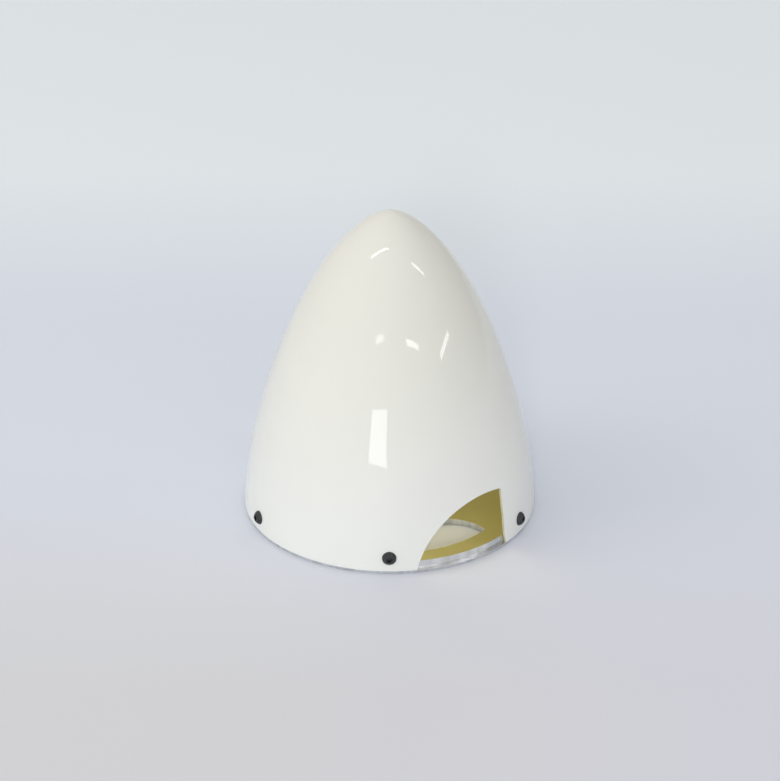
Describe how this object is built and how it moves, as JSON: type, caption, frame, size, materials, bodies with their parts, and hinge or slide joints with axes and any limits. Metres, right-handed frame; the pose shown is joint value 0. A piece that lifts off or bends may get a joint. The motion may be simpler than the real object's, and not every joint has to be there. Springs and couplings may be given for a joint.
{
  "type": "propeller spinner",
  "caption": "Pointed white propeller spinner dome with blade openings, screwed over a turned aluminium back plate.",
  "frame": {"origin": "centre of the back plate's rear face, on the propeller shaft's axis", "axes": "+Z along the shaft's axis towards the dome's tip, blades leave along -Y and +Y"},
  "size_m": [0.2338, 0.2286, 0.237],
  "materials": {
    "gelcoat": "gloss white gelcoat over glass-fibre laminate",
    "plate_aluminium": "turned, bright",
    "black_steel": "black oxide",
    "nut_steel": "plated"
  },
  "bodies": {
    "root": {"dome_shell": "gelcoat", "backplate": "plate_aluminium", "dome_screws": "black_steel", "anchor_nuts": "nut_steel"}
  },
  "joints": []
}
